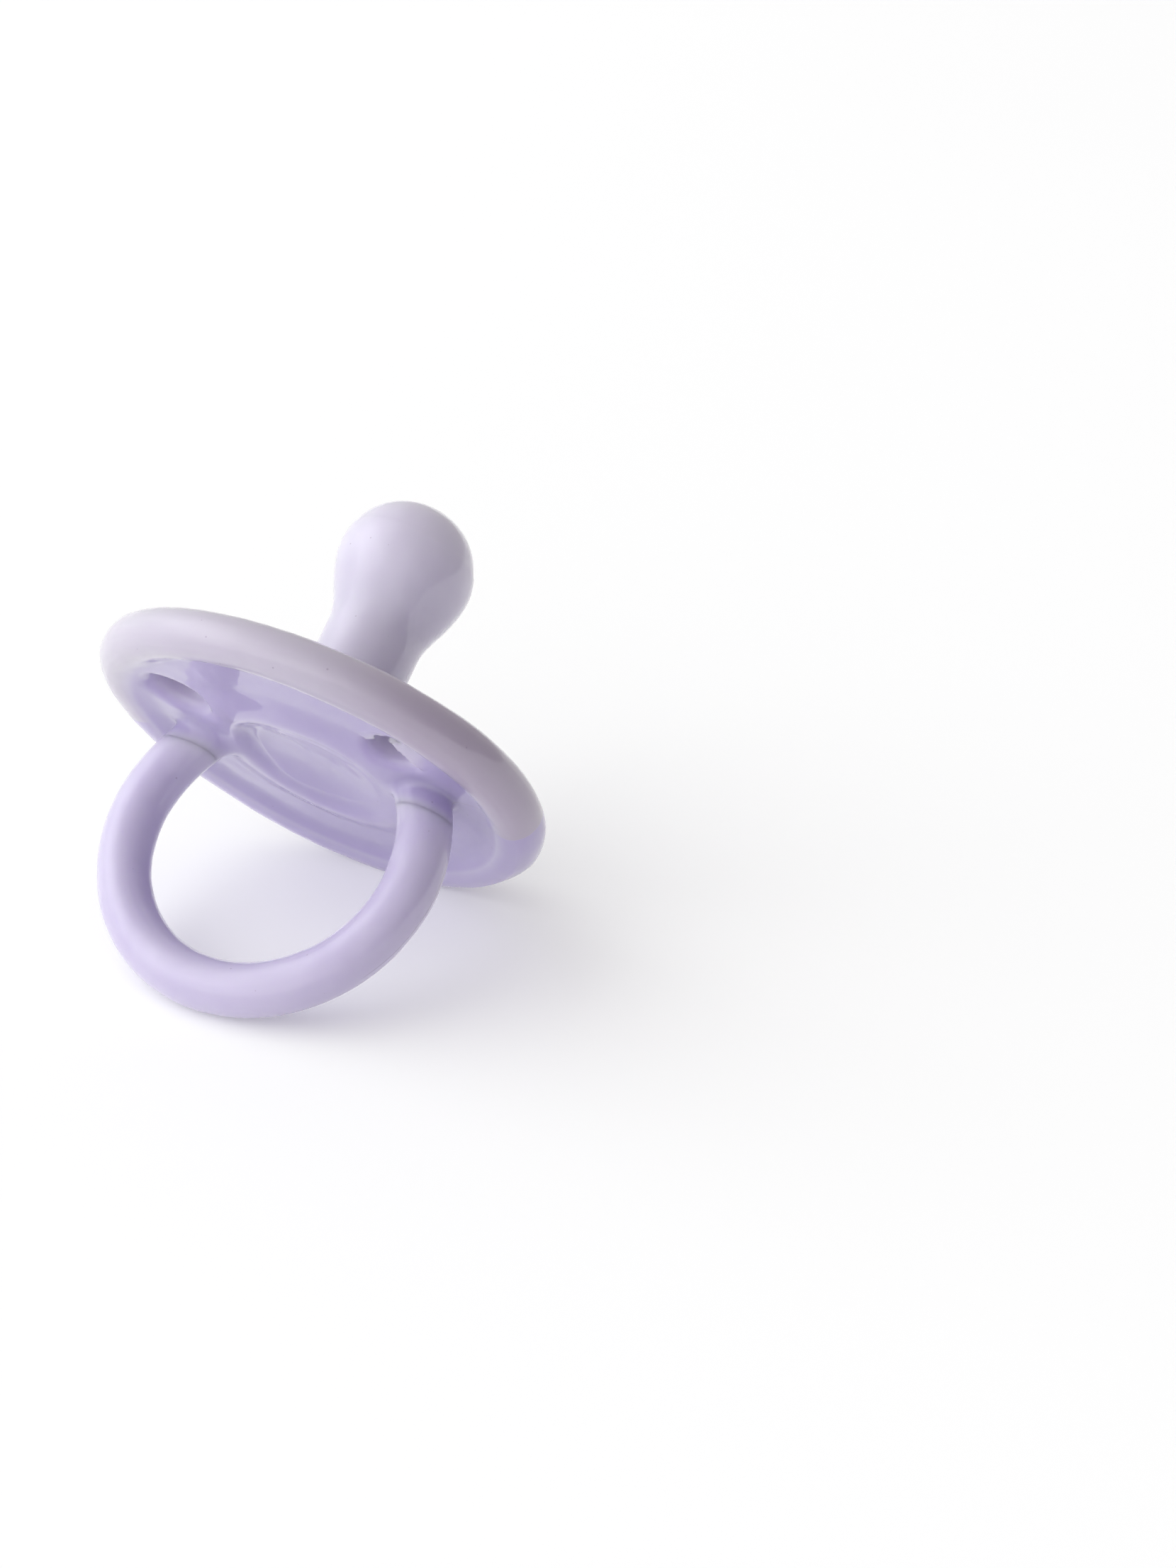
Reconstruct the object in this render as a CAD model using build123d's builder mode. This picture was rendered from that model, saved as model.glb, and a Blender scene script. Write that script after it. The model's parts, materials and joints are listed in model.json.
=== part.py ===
# Round soother of moulded rubber: a bulb teat, a shallow dished shield with a thick round rim,
# and a ring handle whose two feet run into the shield.
#
# The soother stands on a level surface as it comes to rest by itself: on the far end of its ring
# and on the lowest point of its rim. +Z is up, +X runs through the ring's two feet, and +Y is the
# way the teat leans. The origin is on the surface, under the middle of the bounding box.
#
# Every piece is drawn on the soother's own seat plane. Its Z axis is the teat's axis, and its
# origin is the middle of the rim. The teat side is +Z of that plane, and the ring is on the -Z side.
from build123d import *
from math import asin, atan2, cos, hypot, sin, sqrt
import os

# Shield
SHIELD_DIAMETER = 45.0
RIM_THICKNESS = 4.7
PLATE_THICKNESS = 3.0
BOSS_DIAMETER = 27.0  # inside this the handle side of the plate swells towards the ring
BOSS_RISE = 1.0
RECESS_DIAMETER = 16.6  # shallow bowl sunk into the top of the boss
RECESS_DEPTH = 1.35
RECESS_WALL_RUN = 3.3  # how far the recess wall slopes in
VENT_DIAMETER = 5.5
VENT_X = 11.8
VENT_Y = -7.5

# Plug that closes the hole left by the teat's core
CORE_DIAMETER = 6.2
PLUG_HEAD_DIAMETER = 9.0
PLUG_HEAD_THICKNESS = 0.8
PLUG_STEM_LENGTH = 1.2

# Ring handle
RING_CENTRELINE_RADIUS = 14.8
RING_TUBE_DIAMETER = 5.06
RING_CENTRE_DROP = 9.95  # from the rim's mid-plane to the ring's centre
FOOT_END_DROP = 8.5  # where the bending foot ends and the ring proper begins
FOOT_FLARE = 0.7  # how far the foot spreads on the shield
RING_OVERRUN = 20  # degrees above level at which the swept ring ends, before its level cut
FOOT_LOW, FOOT_HIGH = -10, 50  # degrees between which a foot is swept, before its level cuts
RESTING_FLAT = 0.05  # depth of the flat that the soft rim and ring press into themselves where they rest

# Teat
BULB_DIAMETER = 13.3
BULB_CENTRE_HEIGHT = 19.6
BULB_WALL = 1.3
NECK_DIAMETER = 9.3
NECK_TOP_HEIGHT = 11.0  # where the bending neck ends and the bulb piece begins
NECK_ROOT_FILLET = 3.5
SHOULDER_RADIUS = 11.0  # concave curve between the neck and the bulb

# Worked-out sizes
rim_radius = RIM_THICKNESS / 2
rim_circle = SHIELD_DIAMETER / 2 - rim_radius
plate_half = PLATE_THICKNESS / 2
plate_edge = rim_circle - sqrt(rim_radius**2 - plate_half**2)
tube_radius = RING_TUBE_DIAMETER / 2
ring_reach = RING_CENTRE_DROP + RING_CENTRELINE_RADIUS
root_lean = asin((RING_CENTRE_DROP - plate_half) / RING_CENTRELINE_RADIUS)
root_stretch = 1 / cos(root_lean)  # the slanting tube meets the plate in an ellipse
bulb_radius = BULB_DIAMETER / 2
neck_radius = NECK_DIAMETER / 2
core_radius = CORE_DIAMETER / 2
plug_radius = PLUG_HEAD_DIAMETER / 2
recess_radius = RECESS_DIAMETER / 2
boss_radius = BOSS_DIAMETER / 2
boss_face = -plate_half - BOSS_RISE
recess_floor = boss_face + RECESS_DEPTH
plug_shelf = recess_floor + PLUG_HEAD_THICKNESS

# Resting attitude: the rim and the ring's far end both reach the surface, flattened a little there
lean = atan2(rim_circle, ring_reach) + asin((rim_radius - tube_radius) / hypot(rim_circle, ring_reach))
back_reach = ring_reach * cos(lean) + tube_radius
front_reach = BULB_CENTRE_HEIGHT * cos(lean) + bulb_radius
seat = Plane(
    origin=(0, (back_reach - front_reach) / 2, ring_reach * sin(lean) + tube_radius - RESTING_FLAT),
    x_dir=(1, 0, 0),
    z_dir=(0, cos(lean), sin(lean)),
)
# The profile plane holds the teat's axis and both feet: its X is the seat's X, its Y the teat axis
profile = Plane(origin=seat.origin, x_dir=seat.x_dir, z_dir=-seat.y_dir)
teat_axis = Axis(seat.origin, seat.z_dir)
handle_face = seat.offset(-plate_half)
foot_end = seat.offset(-FOOT_END_DROP)

os.makedirs("parts", exist_ok=True)


# Rim: a round bead, flat only where the plate joins it
with BuildPart() as rim_bead:
    with BuildSketch(profile):
        with Locations((rim_circle, 0)):
            Circle(rim_radius)
        with Locations((plate_edge, 0)):
            Rectangle(RIM_THICKNESS, RIM_THICKNESS, align=(Align.MIN, Align.CENTER), mode=Mode.INTERSECT)
    revolve(axis=teat_axis)
    split(bisect_by=Plane.XY, keep=Keep.TOP)

# Plate: a boss with a shallow recess in the middle of the handle side, the core hole and two vents
with BuildPart() as shield_dish:
    with BuildSketch(profile):
        with BuildLine():
            Polyline(
                (core_radius, plate_half),
                (plate_edge, plate_half),
                (plate_edge, -plate_half),
                (boss_radius, -plate_half),
                (recess_radius, boss_face),
                (recess_radius - RECESS_WALL_RUN, recess_floor),
                (plug_radius, recess_floor),
                (plug_radius, plug_shelf),
                (core_radius, plug_shelf),
                close=True,
            )
        make_face()
    revolve(axis=teat_axis)
    with BuildSketch(seat):
        with Locations((-VENT_X, VENT_Y), (VENT_X, VENT_Y)):
            Circle(VENT_DIAMETER / 2)
    extrude(amount=PLATE_THICKNESS, both=True, mode=Mode.SUBTRACT)

# Plug: a flush head on a short stem
with BuildPart() as core_plug:
    with BuildSketch(profile):
        with BuildLine():
            Polyline(
                (0, recess_floor),
                (plug_radius, recess_floor),
                (plug_radius, plug_shelf),
                (core_radius, plug_shelf),
                (core_radius, plug_shelf + PLUG_STEM_LENGTH),
                (0, plug_shelf + PLUG_STEM_LENGTH),
                close=True,
            )
        make_face()
    revolve(axis=teat_axis)

# Ring handle: an open ring that stops where its feet begin
with BuildPart() as handle_ring:
    with BuildLine(profile):
        ring_path = CenterArc(
            (0, -RING_CENTRE_DROP), RING_CENTRELINE_RADIUS, 180 - RING_OVERRUN, 180 + 2 * RING_OVERRUN
        )
    with BuildSketch(Plane(origin=ring_path @ 0, z_dir=ring_path % 0)):
        Circle(tube_radius)
    sweep(path=ring_path)
    split(bisect_by=foot_end, keep=Keep.BOTTOM)
    split(bisect_by=Plane.XY, keep=Keep.TOP)


def ring_foot(first_angle):
    """The end of the ring between its bend line and the plate, with its root spread over the boss."""
    with BuildPart() as foot:
        with BuildLine(profile):
            foot_path = CenterArc(
                (0, -RING_CENTRE_DROP), RING_CENTRELINE_RADIUS, first_angle, FOOT_HIGH - FOOT_LOW
            )
        with BuildSketch(Plane(origin=foot_path @ 0, z_dir=foot_path % 0)):
            Circle(tube_radius)
        sweep(path=foot_path)
        split(bisect_by=handle_face, keep=Keep.BOTTOM)
        split(bisect_by=foot_end, keep=Keep.TOP)
        root = foot.faces().sort_by(Axis(seat.origin, seat.z_dir))[-1]
        root_plane = handle_face.move(Location(root.center() - handle_face.origin))
        with BuildSketch(root_plane):
            Ellipse(root_stretch * tube_radius + FOOT_FLARE, tube_radius + FOOT_FLARE)
        with BuildSketch(root_plane.offset(-FOOT_FLARE)):
            Ellipse(root_stretch * tube_radius, tube_radius)
        loft()
        add(shield_dish.part, mode=Mode.SUBTRACT)
    return foot


ring_foot_right = ring_foot(FOOT_LOW)
ring_foot_left = ring_foot(180 - FOOT_HIGH)

# Neck: hollow, with a wide root on the teat side of the plate
with BuildPart() as teat_neck:
    with BuildSketch(profile):
        with BuildLine():
            root_corner = (neck_radius + NECK_ROOT_FILLET, plate_half)
            root_top = (neck_radius, plate_half + NECK_ROOT_FILLET)
            Line((core_radius, plate_half), root_corner)
            RadiusArc(root_corner, root_top, NECK_ROOT_FILLET)
            Polyline(
                root_top,
                (neck_radius, NECK_TOP_HEIGHT),
                (core_radius, NECK_TOP_HEIGHT),
                (core_radius, plate_half),
            )
        make_face()
    revolve(axis=teat_axis)

# Bulb: a round shell on a concave shoulder, open into the neck
with BuildPart() as teat_bulb:
    shoulder_rise = sqrt((bulb_radius + SHOULDER_RADIUS) ** 2 - (neck_radius + SHOULDER_RADIUS) ** 2)
    shoulder_start = BULB_CENTRE_HEIGHT - shoulder_rise
    share = bulb_radius / (bulb_radius + SHOULDER_RADIUS)
    bulb_start = ((neck_radius + SHOULDER_RADIUS) * share, BULB_CENTRE_HEIGHT - shoulder_rise * share)
    bulb_tip = (0, BULB_CENTRE_HEIGHT + bulb_radius)
    cavity_radius = bulb_radius - BULB_WALL
    cavity_start = BULB_CENTRE_HEIGHT - sqrt(cavity_radius**2 - core_radius**2)
    with BuildSketch(profile):
        with BuildLine():
            Polyline(
                (core_radius, NECK_TOP_HEIGHT),
                (neck_radius, NECK_TOP_HEIGHT),
                (neck_radius, shoulder_start),
            )
            RadiusArc((neck_radius, shoulder_start), bulb_start, -SHOULDER_RADIUS)
            ThreePointArc(bulb_start, (bulb_radius, BULB_CENTRE_HEIGHT), bulb_tip)
            Line(bulb_tip, (0, bulb_tip[1] - BULB_WALL))
            ThreePointArc(
                (0, bulb_tip[1] - BULB_WALL),
                (cavity_radius, BULB_CENTRE_HEIGHT),
                (core_radius, cavity_start),
            )
            Line((core_radius, cavity_start), (core_radius, NECK_TOP_HEIGHT))
        make_face()
    revolve(axis=teat_axis)


pieces = {
    "rim_bead": rim_bead,
    "shield_dish": shield_dish,
    "core_plug": core_plug,
    "handle_ring": handle_ring,
    "ring_foot_left": ring_foot_left,
    "ring_foot_right": ring_foot_right,
    "teat_neck": teat_neck,
    "teat_bulb": teat_bulb,
}
for name, piece in pieces.items():
    piece.part.label = name
    export_step(piece.part, f"parts/{name}.step")
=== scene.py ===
# Round soother of moulded natural rubber, resting on its ring and its rim on a pale floor.
#
# Every shape is drawn in millimetres in the soother's own seat frame, as the CAD model is: its
# origin is the middle of the rim, +Z points along the teat, +X runs through the ring's two feet,
# and the ring is on the -Z side. Each moulded body is a distance function, meshed where it is zero.
import itertools
import json
import math

import bpy
import numpy as np
from mathutils import Matrix, Vector


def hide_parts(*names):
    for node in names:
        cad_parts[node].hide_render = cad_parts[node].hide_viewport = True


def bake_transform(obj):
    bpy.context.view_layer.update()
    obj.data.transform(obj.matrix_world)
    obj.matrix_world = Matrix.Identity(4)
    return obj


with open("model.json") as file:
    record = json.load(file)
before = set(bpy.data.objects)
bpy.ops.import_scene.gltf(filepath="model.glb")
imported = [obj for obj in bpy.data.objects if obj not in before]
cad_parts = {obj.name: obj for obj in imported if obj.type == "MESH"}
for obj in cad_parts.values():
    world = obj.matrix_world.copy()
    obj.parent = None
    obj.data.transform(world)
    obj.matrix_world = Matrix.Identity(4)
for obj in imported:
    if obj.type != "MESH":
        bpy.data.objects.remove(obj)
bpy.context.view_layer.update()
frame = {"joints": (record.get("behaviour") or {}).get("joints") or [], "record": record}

mounts = {mount["name"]: mount for mount in frame["record"]["mounts"]}
joints = {joint["name"]: joint for joint in frame["joints"]}

MM = 0.001

# Seat frame
RING_HINGE_DROP = 5.0  # the ring bends about a line this far below the rim's mid-plane

# Shield
RIM_RADIUS = 22.5
BEAD_RADIUS = 2.34
PLATE_HALF = 1.5
PLATE_CROWN = 0.3
BOSS_RISE = 1.0  # the middle of the handle side swells this far towards the ring
BOSS_FOOT = 13.5  # where the swelling starts
BOWL_RADIUS = 8.3  # a shallow bowl sunk into the swelling
BOWL_DEPTH = 1.9
VENT_RADIUS = 2.75

# Ring
RING_CENTRE = (-0.09, -10.23)
RING_RADIUS = 14.8
TUBE_RADIUS = 2.53

# Teat
NECK_RADIUS = 4.67
BULB_RADIUS = 6.66
BULB_CENTRE = (-0.41, -0.36, 19.56)

# Where the meshes of the ring and the teat leave the stubs on the shield
FOOT_END = -4.3
FOOT_SEAM = -3.7
NECK_END = 5.0
NECK_SEAM = 4.4
SEAM_OVERLAP = 1.2  # how far they run on inside the stubs

FLOOR_HALF = 4.0  # the floor and the lights are in metres
FLOOR_GAP = 0.02 * MM  # the floor lies this far under the soother
FLOOR_GLOW = 0.25  # the floor is a light table, so that shadows on it stay pale

WAVINESS = ((11.0, 0.010, 6), (4.5, 0.006, 8), (2.2, 0.0025, 8))  # length, height, count

SHIELD_STEP = 0.22
RING_STEP = 0.2
TEAT_STEP = 0.22


# ---------------------------------------------------------------- the seat frame
teat_axis = np.array(mounts["vent_left"]["axis"], float)
foot_axis = np.array(joints["ring_flex"]["axis"], float)
seat_axes = np.array([foot_axis, np.cross(teat_axis, foot_axis), teat_axis])
seat_origin = np.array(joints["ring_flex"]["pos_m"]) / MM + RING_HINGE_DROP * teat_axis
vent_centres = {
    name: ((np.array(mounts[name]["pos_m"]) / MM - seat_origin) @ seat_axes.T)[:2]
    for name in ("vent_left", "vent_right")
}


def to_row(points):
    """Seat-frame millimetres to row-frame metres."""
    return (seat_origin + np.asarray(points, float) @ seat_axes) * MM


# ---------------------------------------------------------------- shapes, as distance functions
def smoothstep(low, high, x):
    t = np.clip((x - low) / (high - low), 0, 1)
    return t * t * (3 - 2 * t)


def union(a, b, blend):
    """Two bodies run together with a fillet about as wide as blend."""
    t = np.clip(0.5 + 0.5 * (b - a) / blend, 0, 1)
    return b + (a - b) * t - blend * t * (1 - t)


def cut(a, b, blend):
    """Body a with body b taken out, its new edge rounded."""
    return -union(-a, b, blend)


def uneven(distance, points):
    """The small waviness of a hand-finished rubber moulding, the same on every piece."""
    generator = np.random.default_rng(7)
    near = np.flatnonzero(np.abs(distance) < 0.5)
    place = points[near]
    for size, height, waves in WAVINESS:
        for _ in range(waves):
            direction = generator.normal(size=3)
            direction *= 2 * math.pi / size / np.linalg.norm(direction)
            phase = generator.uniform(0, 2 * math.pi)
            distance[near] += height * np.sin(place @ direction + phase)
    return distance


def rim_section(angle):
    """Outer radius, bead radius and height of the rim, which is a little out of flat."""
    outer = RIM_RADIUS - 0.04 * np.cos(2 * angle) + 0.04 * np.cos(4 * angle)
    bead = BEAD_RADIUS + 0.09 * np.cos(2 * angle)
    height = 0.30 * np.cos(2 * angle) - 0.16 * np.sin(2 * angle)
    return outer, bead, height


def ring_tube(points):
    """The ring's round tube, along a centreline that is a little wider than it is deep."""
    x, y, z = points[:, 0] - RING_CENTRE[0], points[:, 1], points[:, 2] - RING_CENTRE[1]
    angle = np.arctan2(z, x)
    centreline = RING_RADIUS + 0.19 * np.cos(2 * angle) - 0.26 * np.cos(2 * angle) * np.sin(angle)
    centreline = centreline - 0.1 * np.sin(3 * angle) * np.sin(angle)
    return np.hypot(y, np.hypot(x, z) - centreline) - TUBE_RADIUS - 0.04 * np.cos(2 * angle)


def teat_body(points):
    """Neck and bulb, on an axis that leans a little, with a soft concave shoulder between them."""
    z = points[:, 2]
    lean = np.clip((z - PLATE_HALF) / (BULB_CENTRE[2] - PLATE_HALF), 0, 2)
    r = np.hypot(points[:, 0] - BULB_CENTRE[0] * lean, points[:, 1] - BULB_CENTRE[1] * lean)
    neck = np.maximum(r - NECK_RADIUS, z - BULB_CENTRE[2])
    bulb = np.hypot(r, z - BULB_CENTRE[2]) - BULB_RADIUS
    return union(bulb, neck, 2.5)


def facing(angle, towards, spread):
    """1 where the azimuth is the given one, falling to 0 at spread degrees to either side."""
    off = np.abs((angle - math.radians(towards) + math.pi) % (2 * math.pi) - math.pi)
    return 1 - smoothstep(0, math.radians(spread), off)


def handle_face(r, angle, height):
    """Height of the shield's handle side: a swelling with a bowl in it.

    The bowl is steep at its left, with a crisp lip on its near left, and gentle everywhere else.
    """
    lip = BOWL_RADIUS + 0.5 * facing(angle, 90, 60)
    rise = BOSS_RISE * (1 - 0.5 * facing(angle, -160, 75))
    sharpness = 1.15 + 0.9 * facing(angle, 90, 80) + 3.2 * facing(angle, -160, 75)
    softness = 0.34 - 0.31 * facing(angle, -150, 50) - 0.10 * facing(angle, 95, 32)
    inward = (np.hypot(r, 1.5) - 1.5) / (np.hypot(lip, 1.5) - 1.5)
    t = 1 - inward**sharpness
    t = np.minimum(0.5 * (t + np.sqrt(t * t + softness**2)), 1)
    swelling = rise * (1 - smoothstep(lip - 0.4, BOSS_FOOT, r))
    ridge = 0.05 * facing(angle, 92, 26) * np.exp(-((r - lip) / 0.4) ** 2)
    return height - PLATE_HALF - swelling - ridge + (BOWL_DEPTH - BOSS_RISE + rise) * t


def shield_distance(points):
    x, y, z = points.T
    r, angle = np.hypot(x, y), np.arctan2(y, x)
    outer, bead_radius, height = rim_section(angle)
    bead_circle = outer - bead_radius
    bead = np.hypot(r - bead_circle, z - height) - bead_radius
    bead = bead + streaks(np.arctan2(z - height, r - bead_circle), angle)
    height = height * (r / bead_circle) ** 2
    under = handle_face(r, angle, height) - z
    over = z - height - PLATE_HALF - PLATE_CROWN * (1 - (r / bead_circle) ** 2)
    plate = np.maximum(np.maximum(under, over), r - bead_circle)
    far = smoothstep(-0.3, 0.8, np.sin(angle)) + 0.6 * smoothstep(0.5, 1, -np.cos(angle))
    body = union(bead, plate, 0.6 + 1.6 * np.clip(far, 0, 1))
    neck = np.maximum(teat_body(points), z - NECK_END)
    body = union(body, np.maximum(neck, -z), 3.2)
    foot = np.maximum(ring_tube(points), np.maximum(FOOT_END - z, z - 0.4))
    body = union(body, foot, np.where(x < 0, 1.4, 0.9))
    whole = body
    for name, round_over in (("vent_left", 1.8), ("vent_right", 1.1)):
        centre = vent_centres[name]
        hole = np.hypot(x - centre[0], y - centre[1]) - VENT_RADIUS
        body = cut(body, hole, round_over)
    body = union(body, vent_flash(whole, x - centre[0], y - centre[1], z), 0.15)
    return uneven(body, points)


def streaks(around, along):
    """Fine lines that run along the rim, from its mould having been dressed by hand."""
    lines = np.sin(15 * around + 3 * np.sin(2 * along)) + np.sin(23 * around + 4 * np.sin(3 * along + 1))
    return 0.006 * lines * (0.5 + 0.5 * np.sin(7 * along + 3 * np.sin(4 * around)))


def vent_flash(whole, x, y, z):
    """What is left of the moulding's own skin across one vent, torn away at its left."""
    torn = -1.7 + 0.16 * np.sin(2.6 * x + 0.6) + 0.10 * np.sin(5.1 * x) + 0.04 * np.sin(8 * x + 2)
    torn = torn + 4.4 * smoothstep(-0.2, 1.9, x)
    skin = np.maximum(np.maximum(whole + 0.05, -whole - 0.30), z)
    return np.maximum(np.maximum(skin, np.hypot(x, y) - VENT_RADIUS - 0.5), y - torn)


def seam_offset(depth):
    """How far a mesh stands out of the stub it leaves: hidden inside it, then a hair proud."""
    return -0.03 + 0.038 * smoothstep(-0.4, 0, depth) - 0.008 * smoothstep(0.8, 3.0, depth)


def ring_distance(points):
    z = points[:, 2]
    tube = np.maximum(ring_tube(points) - seam_offset(FOOT_SEAM - z), z - FOOT_SEAM - SEAM_OVERLAP)
    return uneven(tube, points)


def teat_distance(points):
    z = points[:, 2]
    teat = np.maximum(teat_body(points) - seam_offset(z - NECK_SEAM), NECK_SEAM - SEAM_OVERLAP - z)
    return uneven(teat, points)


# ---------------------------------------------------------------- meshing
CORNERS = np.array(list(itertools.product((0, 1), repeat=3)))
EDGES = [(a, b) for a, b in itertools.combinations(range(8), 2)
         if np.abs(CORNERS[a] - CORNERS[b]).sum() == 1]


def gradient(distance, points, step=0.02):
    """Central differences of a distance function."""
    sides = [distance(points + step * axis) - distance(points - step * axis) for axis in np.eye(3)]
    return np.stack(sides, -1) / (2 * step)


def onto_surface(distance, points, limit):
    """Points moved straight to where the distance is zero, by at most limit a step."""
    for _ in range(3):
        slope = gradient(distance, points)
        move = -distance(points)[:, None] * slope / np.maximum((slope**2).sum(1), 0.05)[:, None]
        length = np.linalg.norm(move, axis=1, keepdims=True)
        points = points + move * np.minimum(1, limit / np.maximum(length, 1e-9))
    return points


def cell_centres(value, cells, low, step):
    """The mean of the surface's crossings of each cell's edges."""
    total, count = np.zeros((len(cells), 3)), np.zeros(len(cells))
    for a, b in EDGES:
        va, vb = value[tuple((cells + CORNERS[a]).T)], value[tuple((cells + CORNERS[b]).T)]
        crossed = (va < 0) != (vb < 0)
        share = np.where(crossed, va / np.where(crossed, va - vb, 1), 0)
        place = CORNERS[a] + share[:, None] * (CORNERS[b] - CORNERS[a])
        total += place * crossed[:, None]
        count += crossed
    return low + step * (cells + total / count[:, None])


def surface_net(distance, low, high, step):
    """A closed quad mesh of the surface where distance is zero, as points in mm and faces."""
    low = np.array(low, float)
    size = np.ceil((np.array(high) - low) / step).astype(int) + 1
    grid = np.stack(np.meshgrid(*[np.arange(n) for n in size], indexing="ij"), -1)
    value = distance(low + step * grid.reshape(-1, 3)).reshape(size)
    inside = value < 0
    full = sum(inside[tuple(slice(c, n - 1 + c) for c, n in zip(corner, size))].astype(int)
               for corner in CORNERS)
    cells = np.argwhere((full > 0) & (full < 8))
    number = np.full(size, -1)
    number[tuple(cells.T)] = np.arange(len(cells))
    points = cell_centres(value, cells, low, step)
    quads = []
    for axis in range(3):
        u, v = (axis + 1) % 3, (axis + 2) % 3
        here = np.moveaxis(inside, axis, 0)
        crossed = np.moveaxis(np.zeros(size, bool), axis, 0)
        crossed[:-1] = here[:-1] != here[1:]
        at = np.argwhere(np.moveaxis(crossed, 0, axis))
        ring = []
        for du, dv in ((-1, -1), (0, -1), (0, 0), (-1, 0)):
            cell = at.copy()
            cell[:, u] += du
            cell[:, v] += dv
            ring.append(number[tuple(cell.T)])
        quad = np.stack(ring, 1)
        outward = inside[tuple(at.T)]
        quads.append(np.where(outward[:, None], quad, quad[:, ::-1]))
    faces = np.concatenate(quads)
    for _ in range(3):
        points = onto_surface(distance, relax(points, faces), step / 2)
    return points, faces


def relax(points, faces):
    """Each point moved halfway to the mean of its neighbours, which evens out the quads."""
    start, end = faces.ravel(), np.roll(faces, -1, axis=1).ravel()
    here, there = np.concatenate([start, end]), np.concatenate([end, start])
    count = np.bincount(here, minlength=len(points))
    total = [np.bincount(here, points[there, i], len(points)) for i in range(3)]
    return 0.5 * points + 0.5 * np.stack(total, -1) / count[:, None]


def piece(name, points, faces, material):
    """A smooth mesh object in the row frame that remembers where its points are on the soother."""
    row = to_row(points)
    row[:, 2] = np.maximum(row[:, 2], 0)  # soft rubber lies flat where it touches the floor
    mesh = bpy.data.meshes.new(name)
    mesh.from_pydata(row.tolist(), [], faces.tolist())
    mesh.polygons.foreach_set("use_smooth", [True] * len(mesh.polygons))
    mesh.attributes.new("seat_mm", "FLOAT_VECTOR", "POINT").data.foreach_set(
        "vector", points.astype(np.float32).ravel())
    mesh.materials.append(material)
    mesh.validate()
    made = bpy.data.objects.new(name, mesh)
    bpy.context.scene.collection.objects.link(made)
    return made


# ---------------------------------------------------------------- materials
LAVENDER = (0.455, 0.415, 0.57, 1)
DEEP = (0.42, 0.375, 0.545, 1)  # clouds in the lavender
BLUE = (0.385, 0.335, 0.54, 1)  # handle side of the dish, and the rim's far half
PAINTED_DISH_SHADE = (0.31, 0.265, 0.46, 1)  # painted shade on the dish and the rim's far half towards their right, and in the bowl's left end
PALE = (0.53, 0.495, 0.62, 1)  # teat
GREY = (0.43, 0.40, 0.475, 1)  # greyer on the rim's near half
RIM_RIGHT_SHADE = (0.33, 0.28, 0.37, 1)  # painted shade on the rim's near half, darker towards its right
# painted shade of a fine crease beside the right foot
CREASE_SHADE = (0.30, 0.26, 0.36, 1)
SPECK = (0.20, 0.17, 0.24, 1)


class Nodes:
    """Short names for building a node tree."""

    def __init__(self, tree):
        self.tree = tree

    def add(self, kind, **settings):
        node = self.tree.nodes.new(kind)
        for key, value in settings.items():
            setattr(node, key, value)
        return node

    def join(self, source, target):
        self.tree.links.new(source, target)

    def feed(self, socket, value):
        if isinstance(value, bpy.types.NodeSocket):
            self.join(value, socket)
        else:
            socket.default_value = value

    def math(self, operation, *values):
        node = self.add("ShaderNodeMath", operation=operation)
        for socket, value in zip(node.inputs, values):
            self.feed(socket, value)
        return node.outputs[0]

    def ramp(self, value, low, high):
        """0 below low, 1 above high, smooth between."""
        node = self.add("ShaderNodeMapRange", interpolation_type="SMOOTHSTEP")
        for key, given in (("Value", value), ("From Min", low), ("From Max", high)):
            self.feed(node.inputs[key], given)
        return node.outputs["Result"]

    def fall(self, value, low, high):
        """1 below low, 0 above high, smooth between."""
        return self.ramp(self.math("MULTIPLY", value, -1.0), -high, -low)

    def noise(self, vector, scale, detail=2.0, roughness=0.5):
        node = self.add("ShaderNodeTexNoise")
        self.feed(node.inputs["Vector"], vector)
        node.inputs["Scale"].default_value = scale
        node.inputs["Detail"].default_value = detail
        node.inputs["Roughness"].default_value = roughness
        return node.outputs["Fac"]

    def product(self, *values):
        total = values[0]
        for value in values[1:]:
            total = self.math("MULTIPLY", total, value)
        return total

    def off(self, value, centre):
        """How far the value is from the centre, on either side."""
        return self.math("ABSOLUTE", self.math("SUBTRACT", value, centre))

    def mix(self, share, a, b):
        node = self.add("ShaderNodeMix", data_type="RGBA")
        self.feed(node.inputs["Factor"], share)
        colours = [s for s in node.inputs if s.type == "RGBA"]
        self.feed(colours[0], a)
        self.feed(colours[1], b)
        return [s for s in node.outputs if s.type == "RGBA"][0]


def shield_zones(n, x, y, z):
    """Masks of the rim's near half, of its far half with the dish, and of the bowl's left end, which takes
    painted shade.
    """
    across = n.math("SQRT", n.math("ADD", n.product(x, x), n.product(y, y)))
    on_shield = n.ramp(z, -3.6, -2.4)
    on_rim = n.ramp(across, 18.4, 20.0)
    border = n.product(n.ramp(x, 12.0, 18.0), 3.6)  # where y divides the rim into its halves
    near_half = n.ramp(n.math("SUBTRACT", border, y), -0.06, 0.06)
    near_rim = n.product(on_rim, near_half)
    far_rim = n.product(on_rim, n.math("SUBTRACT", 1.0, near_half), on_shield)
    dish = n.product(n.fall(z, -1.4, -0.4), on_shield, n.fall(across, 18.2, 18.9))
    off_pit = n.math("ADD", n.off(x, -5.6), n.off(y, -3.6))
    pit = n.product(n.fall(off_pit, 1.6, 4.6), n.fall(across, 7.6, 8.6))
    return near_rim, n.math("MAXIMUM", dish, far_rim), pit


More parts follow.
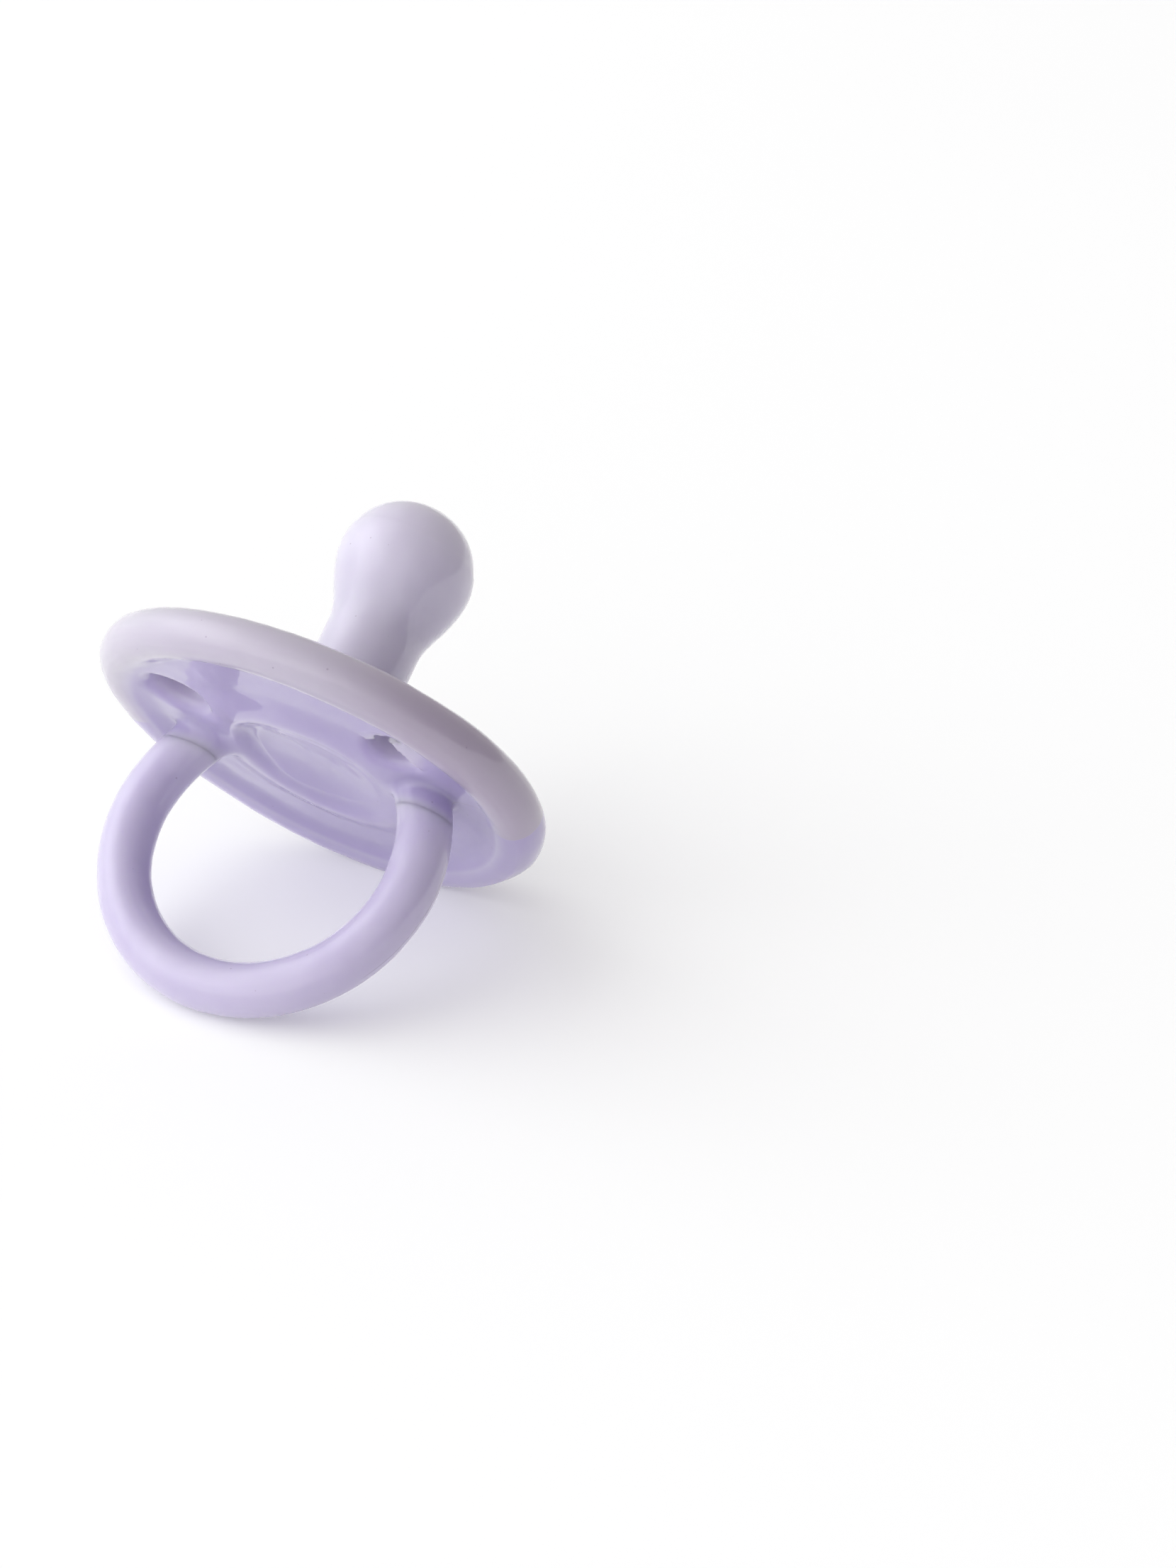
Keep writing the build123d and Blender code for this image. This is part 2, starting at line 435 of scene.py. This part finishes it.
def crease_line(n, x, y, z):
    """Mask of painted shade along a fine crease beside the right foot. It marks the ring below that foot
    as well.
    """
    line = n.math("MULTIPLY_ADD", x, 0.11, -1.5)
    off_line = n.math("ABSOLUTE", n.math("SUBTRACT", y, line))
    reach = n.product(n.ramp(x, 14.2, 15.2), n.fall(z, -1.2, -0.9), n.fall(x, 17.6, 18.6))
    return n.product(n.fall(off_line, 0.03, 0.10), reach)


def speck_dots(n, place):
    """Mask of small dots, one in some cells of a Voronoi pattern and of many sizes."""
    cells = n.add("ShaderNodeTexVoronoi", feature="F1")
    n.join(place, cells.inputs["Vector"])
    cells.inputs["Scale"].default_value = 0.9
    chosen = n.add("ShaderNodeSeparateXYZ")
    n.join(cells.outputs["Color"], chosen.inputs[0])
    radius = n.product(n.ramp(chosen.outputs[0], 0.55, 1.0), 0.09)
    return n.ramp(n.math("SUBTRACT", radius, cells.outputs["Distance"]), 0.0, 0.02)


def rubber_colour(n, place):
    split = n.add("ShaderNodeSeparateXYZ")
    n.join(place, split.inputs[0])
    x, y, z = split.outputs
    near_rim, purple, pit = shield_zones(n, x, y, z)
    clouds = n.ramp(n.noise(place, 0.16, 3), 0.35, 0.7)
    colour = n.mix(n.product(clouds, 0.5), LAVENDER, DEEP)
    colour = n.mix(purple, colour, BLUE)
    # painted shade: the dish and far rim darker towards their right, and darker in the bowl's left end
    shade = n.math("MAXIMUM", n.product(n.ramp(x, 8.0, 20.0), 0.6), n.product(pit, 0.8))
    colour = n.mix(n.product(shade, purple), colour, PAINTED_DISH_SHADE)
    colour = n.mix(n.ramp(z, 3.0, 8.0), colour, PALE)
    # the rim's near half turned greyer
    colour = n.mix(n.product(near_rim, 0.8), colour, GREY)
    # painted shade: the rim's near half darker towards its right, away from the key light
    colour = n.mix(n.product(near_rim, n.ramp(x, 7.0, 19.0), 0.7), colour, RIM_RIGHT_SHADE)
    # painted shade of a fine crease beside the right foot
    colour = n.mix(n.product(crease_line(n, x, y, z), 0.6), colour, CREASE_SHADE)
    return n.mix(n.product(speck_dots(n, place), 0.45), colour, SPECK)


def rubber():
    """Lavender rubber under a glossy skin: faint clouds, a greyer near half of the rim, painted shade on
    the rim, the dish and along a crease, dark specks.
    """
    material = bpy.data.materials.new("rubber")
    material.use_nodes = True
    n = Nodes(material.node_tree)
    shader = material.node_tree.nodes["Principled BSDF"]
    place = n.add("ShaderNodeAttribute", attribute_name="seat_mm").outputs["Vector"]
    n.join(rubber_colour(n, place), shader.inputs["Base Color"])

    gloss = n.noise(place, 0.5, 3)
    n.join(n.math("MULTIPLY_ADD", gloss, 0.16, 0.30), shader.inputs["Roughness"])
    shader.inputs["Specular IOR Level"].default_value = 0.15
    shader.inputs["Coat Weight"].default_value = 1.0
    shader.inputs["Coat Roughness"].default_value = 0.02
    shader.inputs["Subsurface Weight"].default_value = 0.9
    shader.inputs["Subsurface Radius"].default_value = (1.0, 0.85, 1.0)
    shader.inputs["Subsurface Scale"].default_value = 3.6 * MM

    bump = n.add("ShaderNodeBump")
    bump.inputs["Strength"].default_value = 0.15
    bump.inputs["Distance"].default_value = 0.01 * MM
    n.join(n.noise(place, 2.4, 3, 0.6), bump.inputs["Height"])
    n.join(bump.outputs[0], shader.inputs["Normal"])
    return material


def floor_paint():
    material = bpy.data.materials.new("floor")
    material.use_nodes = True
    n = Nodes(material.node_tree)
    shader = material.node_tree.nodes["Principled BSDF"]
    place = n.add("ShaderNodeTexCoord").outputs["Object"]
    tone = n.ramp(n.noise(place, 3.0, 2), 0.2, 0.8)
    n.join(n.mix(tone, (0.71, 0.71, 0.72, 1), (0.72, 0.72, 0.73, 1)), shader.inputs["Base Color"])
    shader.inputs["Roughness"].default_value = 0.9
    shader.inputs["Emission Color"].default_value = (0.95, 0.93, 1.0, 1)
    shader.inputs["Emission Strength"].default_value = FLOOR_GLOW
    shader.inputs["Specular IOR Level"].default_value = 0.0
    return material


# ---------------------------------------------------------------- pieces
skin = rubber()
reach = RIM_RADIUS + 0.8
shield = piece("shield", *surface_net(
    shield_distance, (-reach, -reach, FOOT_END - 0.5), (reach, reach, NECK_END + 0.5), SHIELD_STEP), skin)
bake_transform(shield)
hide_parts("rim_bead", "shield_dish", "core_plug")  # the plug is welded in flush

half_ring = RING_RADIUS + TUBE_RADIUS + 0.9
ring_end = RING_CENTRE[1] - RING_RADIUS - TUBE_RADIUS - 0.8
ring = piece("ring", *surface_net(
    ring_distance, (-half_ring, -3.2, ring_end), (half_ring, 3.2, FOOT_SEAM + 1.8), RING_STEP), skin)
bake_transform(ring)
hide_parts("handle_ring", "ring_foot_left", "ring_foot_right")

girth = BULB_RADIUS + 0.9
tip = BULB_CENTRE[2] + BULB_RADIUS + 0.6
teat = piece("teat", *surface_net(
    teat_distance, (-girth, -girth, NECK_SEAM - 1.8), (girth, girth, tip), TEAT_STEP), skin)
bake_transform(teat)
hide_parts("teat_neck", "teat_bulb")


# ---------------------------------------------------------------- floor, lights, camera
LIGHT_DISTANCE = 3.0
KEY_TOWARD = (-0.68, -0.38, 0.63)
KEY_UPWARD = (-0.35, 1.05, 0.37)
STUDIO_SIDES = (
    ((-1, 0, 0), (1.05, 1.10, 1.08)),
    ((0, -1, 0), (1.95, 1.95, 1.90)),
    ((0, 1, 0), (0.60, 0.58, 0.58)),
    ((0, 0, 1), (0.55, 0.53, 0.50)),
    ((1, 0, 0), (0.03, 0.03, 0.03)),
)
CAMERA_PLACE = (133.9, -189.2, 129.6)
CAMERA_HEADING, CAMERA_PITCH, CAMERA_ROLL = 29.15, -26.44, 1.22
LENS = 63.26
SENSOR = 36.0


def make_floor():
    mesh = bpy.data.meshes.new("floor")
    signs = ((-1, -1), (1, -1), (1, 1), (-1, 1))
    corners = [(x * FLOOR_HALF, y * FLOOR_HALF, -FLOOR_GAP) for x, y in signs]
    mesh.from_pydata(corners, [], [(0, 1, 2, 3)])
    mesh.materials.append(floor_paint())
    made = bpy.data.objects.new("floor", mesh)
    bpy.context.scene.collection.objects.link(made)


def softbox(name, toward, upward, distance, width, height, radiance, colour):
    """A rectangular light that faces the soother, by the radiance it shows."""
    data = bpy.data.lights.new(name, "AREA")
    data.shape, data.size, data.size_y = "RECTANGLE", width, height
    data.energy = radiance * math.pi * width * height
    data.color = colour
    made = bpy.data.objects.new(name, data)
    z = Vector(toward).normalized()
    x = Vector(upward).cross(z).normalized()
    made.matrix_world = Matrix.Translation(z * distance) @ Matrix((x, z.cross(x), z)).transposed().to_4x4()
    bpy.context.scene.collection.objects.link(made)
    return made


def make_world():
    """A studio that shows the soother another brightness on each of its sides, and none on +X."""
    world = bpy.data.worlds.new("studio")
    bpy.context.scene.world = world
    world.use_nodes = True
    n = Nodes(world.node_tree)
    direction = n.add("ShaderNodeTexCoord").outputs["Generated"]
    total = None
    for side, colour in STUDIO_SIDES:
        facing_side = n.add("ShaderNodeVectorMath", operation="DOT_PRODUCT")
        n.join(direction, facing_side.inputs[0])
        facing_side.inputs[1].default_value = side
        share = n.math("MAXIMUM", facing_side.outputs["Value"], 0.0)
        lit = n.add("ShaderNodeVectorMath", operation="SCALE")
        lit.inputs[0].default_value = colour
        n.join(n.math("MULTIPLY", share, share), lit.inputs["Scale"])
        if total is None:
            total = lit.outputs[0]
        else:
            added = n.add("ShaderNodeVectorMath", operation="ADD")
            n.join(total, added.inputs[0])
            n.join(lit.outputs[0], added.inputs[1])
            total = added.outputs[0]
    n.join(total, world.node_tree.nodes["Background"].inputs["Color"])


def make_camera():
    data = bpy.data.cameras.new("camera")
    data.lens, data.sensor_width, data.clip_start = LENS, SENSOR, 0.01
    made = bpy.data.objects.new("camera", data)
    turn = [math.radians(a) for a in (CAMERA_HEADING, 90 + CAMERA_PITCH, CAMERA_ROLL)]
    made.matrix_world = (
        Matrix.Translation(Vector(CAMERA_PLACE) * MM)
        @ Matrix.Rotation(turn[0], 4, "Z")
        @ Matrix.Rotation(turn[1], 4, "X")
        @ Matrix.Rotation(turn[2], 4, "Z")
    )
    bpy.context.scene.collection.objects.link(made)
    bpy.context.scene.camera = made


make_floor()
key = softbox("key", KEY_TOWARD, KEY_UPWARD, LIGHT_DISTANCE, 4.2, 4.2, 1.5, (0.97, 1.0, 0.96))
key.visible_glossy = False
sheen = softbox("key_sheen", KEY_TOWARD, KEY_UPWARD, LIGHT_DISTANCE, 2.2, 3.2, 9.0, (0.98, 1.0, 1.0))
sheen.visible_diffuse = False
make_world()
make_camera()
bpy.context.scene.view_settings.view_transform = "Standard"
